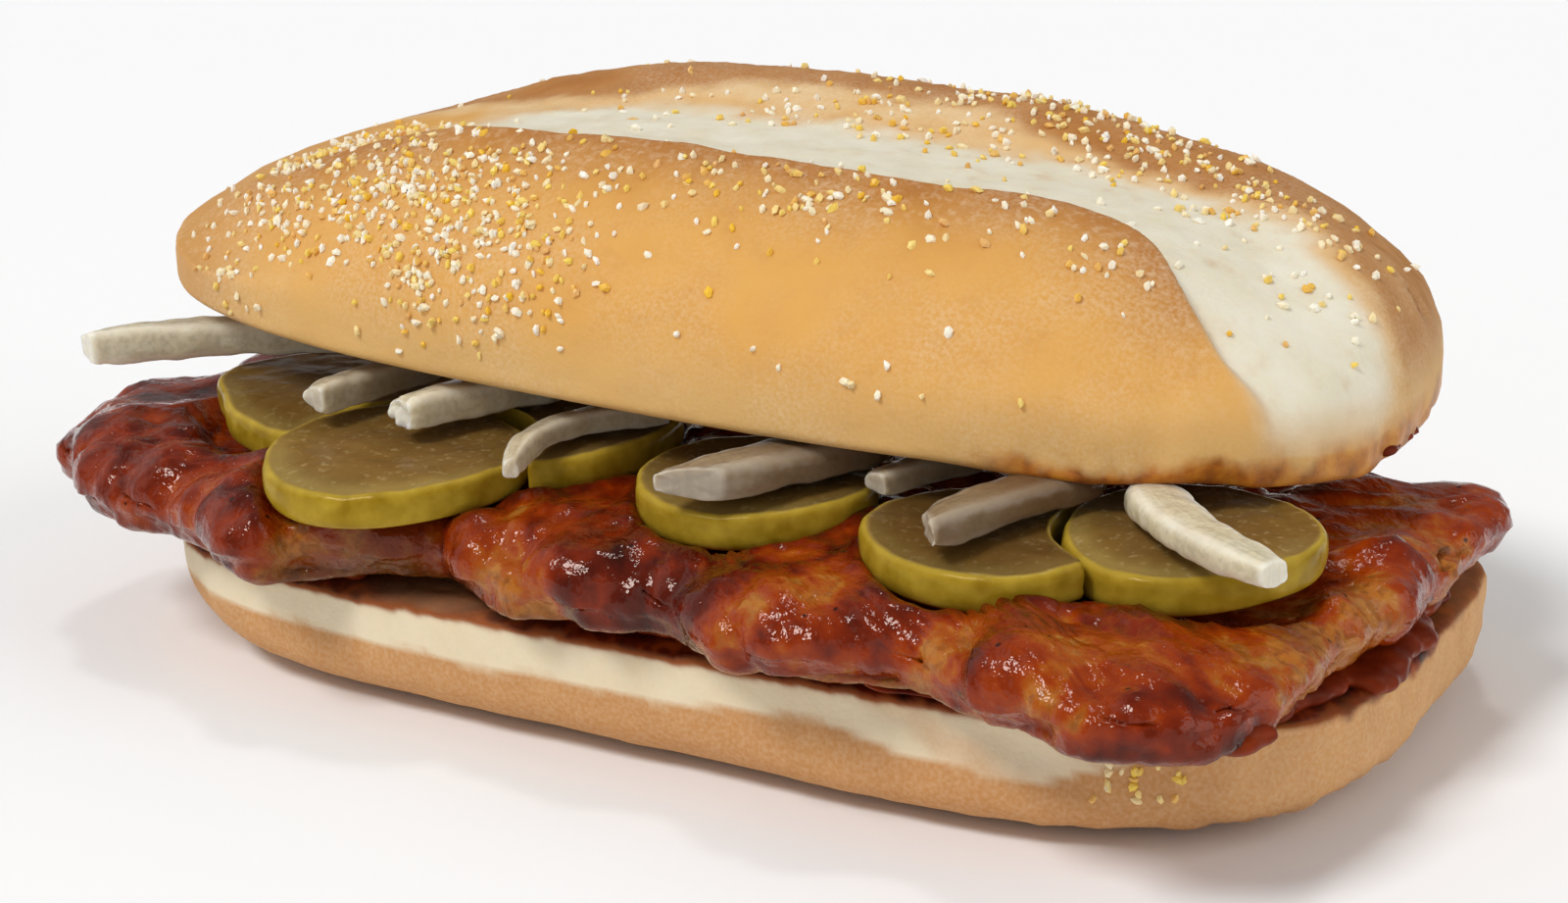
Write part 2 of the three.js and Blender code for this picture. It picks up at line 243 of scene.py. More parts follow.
def coats(tree, base, layers):
    """Colour over colour. Each coat gives its masks, how much it covers and its colour."""
    for *masks, cover, shade in layers:
        for mask in masks:
            cover = add(tree, "Math", {0: mask, 1: cover}, operation="MULTIPLY", use_clamp=True)
        base = add(tree, "Mix", {0: cover, 6: base, 7: shade}, data_type="RGBA")
    return base


def finish(name):
    """A new material, its node tree and where its patterns are measured from."""
    material = bpy.data.materials.new(name)
    material.use_nodes = True
    tree = material.node_tree
    tree.nodes.clear()
    here = add(tree, "TexCoord").outputs["Object"]
    return material, tree, here


def mottle(tree, here, size, low, high, detail=2.0):
    """A mask of soft blots size millimetres across, from 0 under low to 1 over high."""
    blots = add(tree, "TexNoise", {"Vector": here, "Scale": 1 / (size * MM), "Detail": detail})
    return add(tree, "MapRange", {"Value": blots, "From Min": low, "From Max": high})


def flecks(tree, here, spacing, core, rim):
    """A mask of round flecks, 1 up to the core and 0 past the rim, in shares of their spacing."""
    cells = add(tree, "TexVoronoi", {"Vector": here, "Scale": 1 / (spacing * MM)})
    return add(tree, "MapRange", {"Value": cells.outputs["Distance"], "From Min": core, "From Max": rim,
                                  "To Min": 1.0, "To Max": 0.0})


def fine_relief(tree, here, size, detail, rise, strength, **under):
    """Waves size millimetres across and rise millimetres high that only the light sees."""
    waves = add(tree, "TexNoise", {"Vector": here, "Scale": 1 / (size * MM), "Detail": detail})
    return add(tree, "Bump", {"Height": waves, "Distance": rise * MM, "Strength": strength, **under})


def surface(tree, feeds):
    """The finish that all the other nodes lead to."""
    shader = add(tree, "BsdfPrincipled", feeds)
    add(tree, "OutputMaterial", {"Surface": shader})


# %% [markdown]
# ## The loaf form
#
# Heel, patty and crown are all loaves: a rounded rectangle in plan and another
# one in section. A superellipse draws both with one number for how square it
# is, so the three share one function. It also gives the direction straight out
# of the form, along which crests and scores are raised and cut.

# %% Loaf form
def loaf(form, u, v, w):
    """Places on a loaf form, and the direction straight out of it at each."""
    power = np.where(w >= 0, form["top"], form["bottom"])
    height = np.where(w >= 0, form["above"], form["below"])
    plan = np.where(u > 0, form.get("right", form["plan"]), form["plan"])
    spread = power_norm(power_norm(u, v, plan), w, power)
    a, b, c = u / spread, v / spread, w / spread
    share = np.maximum(power_norm(a, b, plan), 1e-3) ** (power - plan)

    def slope(value, exponent):
        return np.sign(value) * np.abs(value) ** (exponent - 1)

    length, width = form["half"]
    sides = share * slope(a, plan) / length, share * slope(b, plan) / width
    out = np.stack([*sides, slope(c, power) / height], 1)
    out /= np.linalg.norm(out, axis=1)[:, None]
    return np.stack([length * a, width * b, form["rim"] + height * c], 1), out


def from_middle(x, y, form):
    """How far out a place is in plan, from 0 in the middle to 1 at the rim."""
    length, width = form["half"]
    return power_norm(x / length, y / width, form["plan"])


def seated(points, form, node):
    """Turns a form about its middle and lowers it to the place of its node."""
    roll, pitch, yaw = (math.radians(angle) for angle in form["turn"])
    turn = Matrix.Rotation(roll, 3, "X") @ Matrix.Rotation(pitch, 3, "Y") @ Matrix.Rotation(yaw, 3, "Z")
    points = points @ np.array(turn).T
    points[:, :2] += form["centre"]
    points[:, 2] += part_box(node)[0].z / MM - points[:, 2].min()
    return points


# %% [markdown]
# ## The heel
#
# The lower half of the roll was baked touching its neighbours, so its sides
# stayed pale and only its base browned. The knife left a flat crumb face with a
# rim that sauce has soaked and darkened. Its form is the loaf with its
# underside cut flat, an undercut left end and a fuller front on the right.
# The relief is three sizes of lumps: slack dough, wrinkled crust and grain.

# %% Heel form
HEEL = dict(half=(69, 38.3), plan=4, top=7, bottom=5, rim=10.5, above=3.2, below=10.5,
            turn=(0, 0, 0), centre=(0, 0))
UNDERCUT, FULLER = 4, 2  # the left end's and the right front's, at the foot
CUT_OFF = 1.04  # how much deeper the form goes than the foot that cuts it flat

mesh = cut_cube((170, 90, 30))
u, v, w = places(mesh).T
points, _ = loaf(HEEL, u, v, w)
length, width = HEEL["half"]
drop = HEEL["rim"] - points[:, 2]
low = np.where(w < 0, ramp(drop, 0, HEEL["rim"]), 0)
points[:, 2] = np.where(w < 0, np.maximum(0, HEEL["rim"] - drop * CUT_OFF), points[:, 2])
points[:, 0] += UNDERCUT * low * ramp(-points[:, 0], 35, length)
points[:, 1] -= FULLER * low * bump(points[:, 0], 38, 22) * ramp(-points[:, 1], 10, width)
points = seated(points, HEEL, "heel")
x, y, z = points.T

# %% Heel relief
slack = lumps(points, 16, 2, seed=1)
crease = lumps(points, 5, 2, seed=2)
grain = lumps(points, 1.3, 2, seed=3)
near, right_end = y < 0, ramp(x, 30, 62)
side, cut = ramp(z, 0.4, 3), ramp(w, 0.93, 1)
rim = cut * ramp(from_middle(x, y, HEEL), 0.86, 0.98)
frayed = bump(x, -23, 8) * near
slanted = x * 0.8 + z * 1.6
oblique = np.sin(slanted / 1.15) * bump(x, 38, 13) * bump(z, 9.5, 3.2) * near
height = side * (0.35 * slack + (0.14 + 0.3 * right_end) * crease + 0.05 * grain + 0.12 * oblique)
height += 0.45 * right_end * (1 - ramp(z, 1, 8)) * lumps(points, 2.6, 2, seed=7)
height = height * (1 - cut) + cut * (0.12 * crease + 0.1 * grain)
height += rim * (0.35 * lumps(points, 2.2, 3, seed=4) + 0.8 * frayed * lumps(points, 1.4, 3, seed=8))
heel_skin = raise_skin(mesh, points, height)
heel_skin[:, 2] = np.maximum(heel_skin[:, 2], 0)
move_to(mesh, heel_skin)

# %% [markdown]
# The heel's zones are painted on its vertices, so that they follow the form:
# where the crust is tan, where it is deep brown, where sauce soaked the rim,
# where the crumb is bare, and where painted light brightens the right end. The
# shader mixes the colours and adds the fine grain.

# %% Heel zones
ragged = lumps(points, 2.4, 3, seed=6)
border = 7.6 - 0.012 * x + 1.2 * bump(x, 22, 14) + 7 * ramp(x, 44, 64)
border += lumps(points, 13, 2, seed=5) + 0.25 * ragged
tan = 1 - ramp(z, border - 0.35, border + 0.35)
streak = bump(x, 40, 12) * near * ramp(np.sin(slanted / 2.1) + 0.5 * ragged, -0.5, 1.1)
toasted = ramp(z + 0.3 * ragged, 11.9, 12.3) * (0.45 + 0.55 * ramp(from_middle(x, y, HEEL), 0.72, 0.9))
soaked = ramp(z + 0.5 * ragged + 0.3 * slack, 12.2, 12.7) * (1 - 0.8 * frayed) * (0.35 + 0.65 * near)
soaked = np.maximum(soaked, right_end * bump(y, -8, 16) * ramp(z + 0.8 * ragged, 11.2, 12.2))
heel_zones = dict(
    rim_line=bump(z + 0.35 * ragged, 12.3, 0.4) * (0.4 + 0.6 * near),
    tan=np.maximum(tan, 0.5 * streak),
    brown=1 - ramp(z, 0.5, 5.5 + 1.5 * slack),
    # Painted light on the heel's right end, above its base.
    sunny=ramp(x, 50, 64) * ramp(z, 2, 7),
    toasted=toasted,
    soaked=soaked,
    crumb=cut,
)

# %% [markdown]
# The finish is baked dough: a matt skin, a little light inside it, fine pores.
# Dough scatters light a few millimetres deep, which softens its shadows.

# %% Heel finish
heel_bread, tree, here = finish("baked dough, pale side")
broad = mottle(tree, here, 4, 0.35, 0.7, 3)
sauce_stain = add(tree, "ValToRGB", {"Fac": mottle(tree, here, 2.5, 0.3, 0.7)},
                  stops=[(0.0, "#2a0a04"), (1.0, "#a04a12"), (0.5, "#641f08")])
colour = coats(tree, "#e9dabb", [
    (broad, 0.3, "#dcc69c"),
    ("tan", 1, "#ca945c"),
    ("brown", 0.45, "#b67a42"),
    # Painted light on the right end.
    ("sunny", 0.6, "#dba870"),
    ("tan", broad, 0.35, "#b67c46"),
    (mottle(tree, here, 0.45, 0.35, 0.7), 0.16, "#f2e4c8"),
    ("crumb", 0.6, "#c39a6c"),
    ("toasted", 0.85, "#8f5320"),
    ("rim_line", 0.85, "#96480c"),
    ("soaked", 1, sauce_stain),
])
surface(tree, {
    "Base Color": colour,
    "Roughness": add(tree, "MapRange", {"Value": "soaked", "To Min": 0.75, "To Max": 0.4}),
    "Normal": fine_relief(tree, here, 0.5, 3.0, 0.15, 0.5),
    "IOR": 1.4, "Specular IOR Level": 0.25,
    "Subsurface Weight": 0.2, "Subsurface Radius": (1.0, 0.6, 0.3), "Subsurface Scale": 2 * MM,
})
piece("heel_loaf", mesh, heel_bread, "bread", ["heel"], **heel_zones)

# %% [markdown]
# ## The patty
#
# Chopped meat is pressed into a slab with ribs and a lobed flank, grilled, and
# dipped in thick sauce. Two surfaces make that look: lumpy meat, and a smooth
# sauce that fills the hollows and leaves the tops of the lumps thin. So the
# script works out both heights and keeps the higher one. The difference is the
# depth of the sauce, which later decides its colour, as it does in a pan.

# %% Slices and their places, which also press on the patty
# A slice's shade is painted shade: how far its flesh is darkened where the crown's overhang shades it.
PICKLES = [
    dict(at=(-50, -18), radius=13.5, stretch=1.04, tilt=(-0.01, 0.02), droop=1.2, beside=2, shade=0.4,
         worn=2.6),
    dict(at=(-20, -18), radius=13, stretch=1.05, tilt=(-0.02, 0.02), droop=0.6, beside=2, shade=0.7),
    dict(at=(-30, -31.5), radius=13, stretch=1.06, tilt=(-0.02, 0.04), droop=0.8, beside=None, shade=0),
    dict(at=(8, -24), radius=11, stretch=1.1, tilt=(-0.02, 0.02), droop=0.7, beside=None, shade=0.3),
    dict(at=(35, -27.5), radius=11.2, stretch=1.08, tilt=(-0.02, 0.02), droop=0.7, beside=5, shade=0.7),
    dict(at=(51.5, -20.5), radius=11.5, stretch=1.04, tilt=(0, 0.04), droop=0.7, beside=None, shade=0),
]

# %% Patty form
PATTY = dict(half=(75.5, 31.5), plan=6, right=10, top=2.4, bottom=8, rim=4.5, above=5.3, below=4.5,
             turn=(0, 0, -5.2), centre=(-4.3, -9.9))
RIB_PITCH = 30
# Lobes along the flank: where, how far out and how wide.
LOBES = [(-54, 2.6, 8), (-33, 6.4, 9), (-14, -4.2, 7), (-2, 1.6, 6),
         (13, -2.2, 6), (27, 1.4, 7), (42, -1.8, 6), (64, 3.3, 10)]

mesh = cut_cube((276, 128, 24))
u, v, w = places(mesh).T
points, out = loaf(PATTY, u, v, w)
x, y, z = points.T.copy()
length, width = PATTY["half"]
front, back = ramp(-y, 0, width), ramp(y, 0, width)
right, left = ramp(x, 50, length), ramp(-x, 55, length)
wrinkles = np.sin(x / 2.7 + z / 2) * np.sin(y / 3.3 + x / 9 + 1)
ribs = 0.45 * np.cos(2 * np.pi * (x + 3) / RIB_PITCH) + 0.25 * np.sin(x / 5.1 + y / 3.7)
ribs += 0.8 * wrinkles * ramp(from_middle(x, y, PATTY), 0.6, 0.95)
points += out * (ribs * np.where(w < 0, 0.3, 1))[:, None]
x, y, z = points.T.copy()
points[:, 1] -= front * sum(size * bump(x, at, reach) for at, size, reach in LOBES)
points[:, 1] += back * (1.2 * np.cos(x / 6.3 + 1) + 6 * right)
points[:, 0] -= left * 2.4 * bump(points[:, 1], -12, 14) + right * 3.4
points[:, 2] += left + right * back - np.where(w > 0, 0.013 * points[:, 0] * w, 0)
points = seated(points, PATTY, "patty")
x, y, z = points.T

# %% Where the sauce is thin or thick, the larger knobs, and where shade is painted
# Each place is x, y, z, reach and strength, as for all soft spots.
THIN = [
    (48.5, -44, 22, 4, 0.45), (37.5, -43.5, 19, 4, 0.8), (64, -40, 19.5, 5, 0.6),
    (66, -31, 17, 7, 0.75), (69, 3, 19, 7, 0.8), (65.6, -16, 20, 4, 0.7), (68, -22, 17, 6, 0.8),
    (62, -30, 20.5, 4, 0.5), (60, -36, 19, 4, 0.4), (56, -42, 18.5, 3, 0.5), (52, -43, 20.5, 8, 0.3),
    (66, -28, 21.5, 5, 0.3), (-34.5, -42.5, 17, 4, 0.7), (-25.5, -37.5, 16.5, 5, 0.9),
    (-7.5, -42, 18, 5, 0.65), (22, -39, 22.5, 4.5, 0.4), (-46, -38, 22, 3, 0.5), (60, -2, 23, 7, 0.35),
    (-62, -30, 16, 5, 0.6),
]
THICK_SAUCE = [
    (44, -46, 20.5, 4, 0.6), (1, -40, 20, 5, 0.7), (60, -44, 16, 7, 0.8), (10, -41, 20, 6, 0.5),
    (60, -36, 21.5, 7, 0.3), (-60, -33, 21, 7, 0.3),
]
KNOBS = [
    (64.5, -19, 20.5, 2.8, 2.4), (66, 6.3, 21, 3, 1.8), (65, -6.4, 20.5, 3, 1.9), (66, 0, 17.5, 3, 1.2),
    (67, -13, 18, 3, 1.3), (-37.5, -43.8, 17.5, 3, 1.5), (17.5, -44.7, 18.5, 4.2, 1.3),
    (44.8, -46, 19.5, 3, 1.5), (-51, -38.8, 20.5, 3.5, 1.2), (-58, -35, 21, 3.5, 1.2),
    (-66, -31, 20, 4, 1), (-45, -38, 22, 2.6, 1.2), (-27, -40.5, 21.5, 5, 2.2),
    (-17, -39.5, 21.5, 4.5, 2), (-12, -37.5, 22.8, 3, 1.2), (-70, -26, 21, 3.5, 1),
    (30, -42, 21, 3.5, 0.9), (4, -40, 21.5, 3.5, 0.9), (59.5, -40.5, 21, 3.5, 0.9),
    (57.5, -36, 22, 3, 0.6), (53.5, -38, 22.5, 1.8, -0.9), (54, -42, 22, 1.8, -1.1),
    (54.5, -45.5, 20, 1.8, -1.1), (54.5, -46.5, 17.5, 1.8, -0.8), (58, -46, 18.3, 1.7, -0.9),
    (62, -44.5, 18.2, 1.7, -0.9), (66, -40, 18.2, 1.7, -0.9), (50, -47.5, 18, 1.7, -0.7),
    (51, -47, 16, 2.2, 0.8), (58, -46, 16, 2.2, 1.1), (62, -44.5, 16, 2.2, 1.1),
    (66, -40, 16.2, 2.2, 1),
]
# Spots of painted shade, where the flank lies in the shadow of the slices above it.
SHADED = [(-27, -38, 17, 7, 0.9), (-36, -40, 16, 5, 0.5), (-14, -37, 16.5, 4, 0.5), (-58, -33, 15.5, 5, 0.4)]

# %% Meat and sauce
SAUCE_LEVEL = 0.9  # of a sauce pool above the mean of the meat
BLEND = 0.2  # how softly sauce meets meat

pressed, collar = np.zeros(len(points)), np.zeros(len(points))
for slice_ in PICKLES:
    away = np.hypot(x - slice_["at"][0], y - slice_["at"][1]) / slice_["radius"]
    pressed = np.maximum(pressed, (1 - ramp(away, 0.9, 1.1)) * ramp(w, 0.35, 0.75))
    collar = np.maximum(collar, bump(away, 1.14, 0.07) * (w > 0.2))
edge = 0.4 + 0.6 * ramp(power_norm(u, v, PATTY["plan"]), 0.6, 0.95)
under = ramp(-w, 0.55, 0.95)
bulk = 1.2 * edge * knobs(points, 10.5, 1) + (0.35 + 0.75 * edge) * knobs(points, 5.2, 4)
bulk += spots(points, KNOBS) + 0.4 * lumps(points, 9, 1, seed=11) - 0.4
bulk += 0.9 * np.maximum(0, lumps(points * (1, 1, 0.2), 3.4, 1, seed=16)) * bump(w, -0.35, 0.5)
small_knobs = knobs(points, 1.9, 3)
meat = bulk + 0.7 * knobs(points, 3.6, 2) + 0.42 * small_knobs + 0.2 * lumps(points, 1.1, 2, seed=12)
pool = bulk + SAUCE_LEVEL + 0.4 * collar + 0.45 * lumps(points, 8, 1, seed=13)
pool += 0.35 * lumps(points * (1, 1, 0.35), 3.2, 1, seed=14) + 0.12 * lumps(points, 1.7, 1, seed=15)
pool += 0.35 * knobs(points, 3.2, 5) + 0.28 * small_knobs
pool += spots(points, THICK_SAUCE) - spots(points, THIN) - 0.7 * under
skin_height = 0.5 * (meat + pool + np.sqrt((meat - pool) ** 2 + BLEND**2))
sauce = skin_height - meat
print("sauce in mm, by tenths of the surface:", np.percentile(sauce, range(10, 100, 20)).round(2))

# %% Patty skin
skin_height *= 1 - 0.75 * pressed
skin_height -= 0.5 * pressed + 1.2 + 0.5 * edge + 0.9 * ramp(-w, 0, 0.6)
skin_height *= 1 - 0.6 * under
raise_skin(mesh, points, skin_height)
# Painted shade: the spots, and the lower front flank where it lies in shadow over the heel.
dusk = spots(points, SHADED) + 0.5 * bump(w, -0.8, 0.35) * (y < -30)
print("relief in mm:", np.percentile(skin_height, (0, 10, 50, 90, 100)).round(2))

# %% [markdown]
# Barbecue sauce is clear brown syrup with tomato in it. A thin film over meat is
# orange, a few tenths of a millimetre are brick red, and a pool is nearly black.
# Its surface is wet, so it is glossy, and rougher only where the meat is bare. A
# clear coat over a warm, weak shine keeps the highlights small and the red clean.

# %% Patty finish
sauced_meat, tree, here = finish("grilled meat under tomato syrup")
blots = add(tree, "TexNoise", {"Vector": here, "Scale": 1 / (2.0 * MM), "Detail": 4.0})
uneven = add(tree, "MapRange", {"Value": blots, "From Min": 0.25, "From Max": 0.75,
                                "To Min": -0.22, "To Max": 0.22})
depth = add(tree, "Math", {0: "sauce", 1: uneven}, operation="ADD")
film = add(tree, "MapRange", {"Value": depth, "From Min": 0.0, "From Max": 1.5})
by_depth = add(tree, "ValToRGB", {"Fac": film}, stops=[
    (0.0, "#ac6620"), (1.0, "#340903"), (0.07, "#a3500e"), (0.18, "#963604"), (0.4, "#7c2404"),
    (0.65, "#581504")])
naked = add(tree, "MapRange", {"Value": depth, "From Min": 0.0, "From Max": 0.14,
                               "To Min": 1.0, "To Max": 0.0})
colour = coats(tree, by_depth, [
    (naked, mottle(tree, here, 1.1, 0.45, 0.6, 3), 0.7, "#7e4016"),
    (naked, mottle(tree, here, 3, 0.5, 0.65), 0.5, "#b47c3a"),
    (flecks(tree, here, 4.2, 0.05, 0.08), 0.85, "#1d0a06"),
    # Painted shade, darker meat where the flank lies in shadow.
    ("dusk", 0.75, "#3a1a0c"),
])
grip = add(tree, "MapRange", {"Value": depth, "From Min": 0.1, "From Max": 0.9, "To Min": 0.9, "To Max": 0.5})
fibres = fine_relief(tree, here, 1.6, 3.0, 0.55, grip)
surface(tree, {
    "Base Color": colour,
    "Roughness": add(tree, "MapRange", {"Value": depth, "From Min": 0.0, "From Max": 0.3,
                                        "To Min": 0.32, "To Max": 0.11}),
    "Normal": fibres,
    "IOR": 1.45, "Specular IOR Level": 0.16, "Specular Tint": "#ffc8a4",
    "Coat Weight": 0.38, "Coat Roughness": 0.07, "Coat Normal": fibres,
    "Subsurface Weight": 0.15, "Subsurface Radius": (1.0, 0.25, 0.1), "Subsurface Scale": 1.0 * MM,
})
piece("patty_meat", mesh, sauced_meat, "sauced_meat", ["patty"], sauce=sauce, dusk=np.clip(dusk, 0, 1))

# %% [markdown]
# ## The pickle slices
#
# A slice is a short drum: translucent flesh inside, and a tough skin around its
# rim that stays greener. Where two slices meet, one is cut back, so they lie
# side by side without passing through each other. Soft slices follow what is
# under them, so the front edge hangs a little over the patty.

# %% Pickle form
THICK = 3  # of a slice
SUNK = 0.9  # how far a slice's underside is drawn below that of its solid
APART = 0.7  # between a slice that is cut back and the one beside it
FAR = 1e3  # past any slice


def room_beside(slice_, cos, sin):
    """How far a slice may reach before it meets the one beside it."""
    if slice_["beside"] is None:
        return np.full(len(cos), FAR)
    other = PICKLES[slice_["beside"]]
    dx, dy = np.subtract(other["at"], slice_["at"])
    along = dx * cos + dy * sin
    inside = (other["radius"] * other["stretch"] + APART) ** 2 - (dx**2 + dy**2 - along**2)
    return np.where((along > 0) & (inside > 0), along - np.sqrt(np.maximum(inside, 0)), FAR)


def pickle_mesh(slice_, node, seed):
    """A soft slice over the box of its node, and the zones that its finish needs."""
    mesh = cut_cube((46, 46, 10))
    u, v, w = places(mesh).T
    ring = np.maximum(np.abs(u), np.abs(v))
    length = np.maximum(np.hypot(u, v), 1e-6)
    cos, sin = u / length, v / length
    oval = slice_["radius"] * (1 + 0.03 * np.sin(3 * np.arctan2(sin, cos) + slice_["at"][0]))
    oval = oval * np.hypot(slice_["stretch"] * cos, sin)
    oval -= slice_.get("worn", 0) * bump(-0.5 * cos - 0.87 * sin, 1, 0.25)
    edge = ramp(ring, 0.9, 1)
    reach = np.minimum(oval, room_beside(slice_, cos, sin)) * ring * (1 - 0.04 * edge * np.abs(w) ** 3)
    x, y = reach * cos, reach * sin
    hang = slice_["droop"] * (1 - np.cos(np.pi * ramp(-y, 0, 1.6 * slice_["radius"])))
    dish = 0.22 * (1 - ramp(ring, 0.9, 0.975)) + 0.2 * edge * np.abs(w) ** 5
    z = slice_["tilt"][0] * x + slice_["tilt"][1] * y - hang + w * (THICK / 2 - dish)
    points = np.stack([slice_["at"][0] + x, slice_["at"][1] + y, z], 1)
    points[:, 2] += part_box(node)[0].z / MM - z.min() - SUNK * (w < 0) * np.abs(w)
    height = 0.18 * lumps(points, 4, 2, seed) + 0.07 * lumps(points, 1.2, 1, seed + 1)
    raise_skin(mesh, points, height * np.where(w > -0.5, 1, 0))
    return mesh, dict(
        skin=ramp(ring, 0.955, 0.985),
        flesh=1 - ramp(ring, 0.45, 0.8),
        # Painted light: the flesh is paler near the front rim, on the side away from the crown's shadow.
        pale=bump(ring, 0.9, 0.12) * ramp(-v, -0.2, 0.7),
        line=bump(ring, 0.985, 0.02) * ramp(w, 0.6, 0.95),
        # Painted shade over the flesh, kept off the rim.
        shade=slice_["shade"] * (1 - ramp(ring, 0.9, 0.97)),
    )


# %% [markdown]
# Brined cucumber is wet and lets light in. The flesh is brownish olive and browner
# in the middle. Painted light makes it paler near the front rim, and painted shade
# darkens the flesh of the slices under the crown. The skin is more yellow than green.

# %% Pickle finish
brined, tree, here = finish("brined cucumber")
peel = add(tree, "ValToRGB", {"Fac": mottle(tree, here, 2.6, 0.3, 0.7, 3)},
           stops=[(0.0, "#8e7010"), (1.0, "#b2952e")])
colour = coats(tree, "#80622f", [
    (mottle(tree, here, 1.6, 0.3, 0.75, 4), 0.5, "#604519"),
    ("flesh", 0.35, "#785730"),
    # Painted light near the front rim.
    ("pale", 0.6, "#a08a4c"),
    (mottle(tree, here, 0.9, 0.58, 0.7, 3), 0.4, "#b5a070"),
    (flecks(tree, here, 3.0, 0.12, 0.3), "flesh", 0.2, "#8a7640"),
    ("skin", 1, peel),
    ("line", 0.5, "#c9b04e"),
    # Painted shade on the slices that lie in the crown's shadow.
    ("shade", 0.75, "#4a2f10"),
])
surface(tree, {
    "Base Color": colour, "Roughness": 0.22,
    "Normal": fine_relief(tree, here, 1.3, 2.0, 0.2, 0.35),
    "IOR": 1.38, "Specular IOR Level": 0.25, "Specular Tint": "#ffe4b0",
    "Subsurface Weight": 0.4, "Subsurface Radius": (1.0, 0.8, 0.3), "Subsurface Scale": 2 * MM,
})

for i, slice_ in enumerate(PICKLES, 1):
    mesh, zones = pickle_mesh(slice_, f"pickle_{i}", 20 + 2 * i)
    piece(f"pickle_slice_{i}", mesh, brined, "pickle", [f"pickle_{i}"], **zones)

# %% [markdown]
# ## The onion strips
#
# Raw onion was cut across its layers, so each strip is a bent bar with a
# rounded square section. It follows a curve with a point at each end and one
# that pulls it sideways. Some tips are broken, several strips are tinged brown,
# partly by sauce and partly by painted shade that deepens under the crown, and
# all of them show the cell rows that run along the layer. Painted light brightens
# their thin edges, and their cut ends are lighter, partly bare flesh and partly
# painted light.

# %% Onion form
LOWERED = 0.3  # how far a strip is drawn below its solid
ROW_LENGTH = 25  # of the cell rows from tip to tip, for the pattern
# A strip's brown tint is partly sauce and partly painted shade for how deep it lies in the crown's shadow.
ONIONS = [
    dict(path=((-77, -26, 0), (-66, -15, 0.6), (-50, -8, 0)), width=5.4, thick=4.1,
         ends=(0.9, 1.05), slant=1, ragged=0.15, tea=0.05),
    dict(path=((-41, -31, 0), (-40, -23, 0.3), (-38, -14, 0)), width=4.8, thick=3.4,
         ends=(0.8, 1.1), slant=0, ragged=0.3, tea=0.4),
    dict(path=((-30, -31, 0), (-27, -22, 0.3), (-22, -13, 0)), width=5.6, thick=3.7,
         ends=(0.85, 1.1), slant=0, ragged=0.6, tea=0),
    dict(path=((-12, -37, -0.8), (-18, -26, 1), (-7, -16, 0)), width=3.4, thick=2.6,
         ends=(0.6, 1.2), slant=1, ragged=0.15, tea=0.25),
    dict(path=((7.6, -36.4, 0), (12.8, -27, 0.3), (17, -17, 0)), width=7, thick=3.7,
         ends=(1, 1.1), slant=4.4, ragged=0.1, tea=0.72),
    dict(path=((22, -26, 0), (24, -20, 0.2), (27, -13, 0)), width=4.4, thick=2.6,
         ends=(0.8, 1), slant=0, ragged=0.2, tea=0.6),
    dict(path=((33, -37, 0), (36, -27, 0.3), (40, -17, 0)), width=5.4, thick=3.3,
         ends=(0.95, 1.15), slant=-2.5, ragged=0.2, tea=0.78),
    dict(path=((47, -18, -0.4), (52, -29, 0.3), (64.3, -34.3, -0.6)), width=5.8, thick=3,
         ends=(1.15, 0.7), slant=0, ragged=0.12, tea=0),
]


def onion_mesh(strip, node, seed):
    """A bent bar over the box of its node, and the zones that its finish needs."""
    mesh = cut_cube((64, 20, 12))
    u, v, w = places(mesh).T
    t = ((u + 1) / 2)[:, None]
    a, b, c = (np.array(point, float) for point in strip["path"])
    middle = (1 - t) ** 2 * a + 2 * t * (1 - t) * b + t**2 * c
    along = 2 * (1 - t) * (b - a) + 2 * t * (c - b)
    along /= np.linalg.norm(along, axis=1)[:, None]
    side = np.stack([-along[:, 1], along[:, 0], np.zeros(len(u))], 1)
    ring = np.maximum(np.abs(v), np.abs(w))
    soft = np.where(ring > 0, ring / np.maximum(power_norm(v, w, 3), 1e-6), 0)
    scale = soft * (1 - 0.25 * np.abs(u) ** 7) / 2
    first, last = strip["ends"]
    wide = strip["width"] * (first + (last - first) * t[:, 0])
    points = middle + side * (v * wide * scale)[:, None]
    points -= along * (strip["slant"] * v * ramp(-u, 0.2, 1) / 2)[:, None]
    points[:, 2] += w * strip["thick"] * scale * (1 - 0.25 * v * ramp(-u, 0, 1))
    points[:, 2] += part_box(node)[0].z / MM - points[:, 2].min() - LOWERED
    near_tip = ramp(-u, 0.75, 1) + ramp(u, 0.75, 1)
    height = 0.22 * lumps(points, 3.5, 2, seed) + 0.02 * lumps(points, 1.1, 1, seed + 2)
    height += strip["ragged"] * near_tip * (lumps(points, 1.4, 2, seed + 1) - 0.35)
    raise_skin(mesh, points, height)
    # The brown tint, partly sauce and partly painted shade, deepens towards the end that lies under the
    # crown.
    tea = strip["tea"] + 0.15 * ramp(t[:, 0], 0.1, 0.6) * (strip["ends"][1] >= 1)
    clear = 1 - np.clip(tea, 0, 1)
    return mesh, dict(
        # Cut ends are lighter, partly bare flesh and partly painted light.
        cut=ramp(np.abs(u), 0.93, 0.99) * (0.1 + clear),
        along=t[:, 0] * ROW_LENGTH,
        across=v * strip["width"] / 2,
        tea=tea,
        # Painted light along the thin edges, where light would shine through.
        thin=ramp(np.abs(v) + np.abs(w), 1.3, 1.9) * (0.1 + 0.9 * clear),
    )


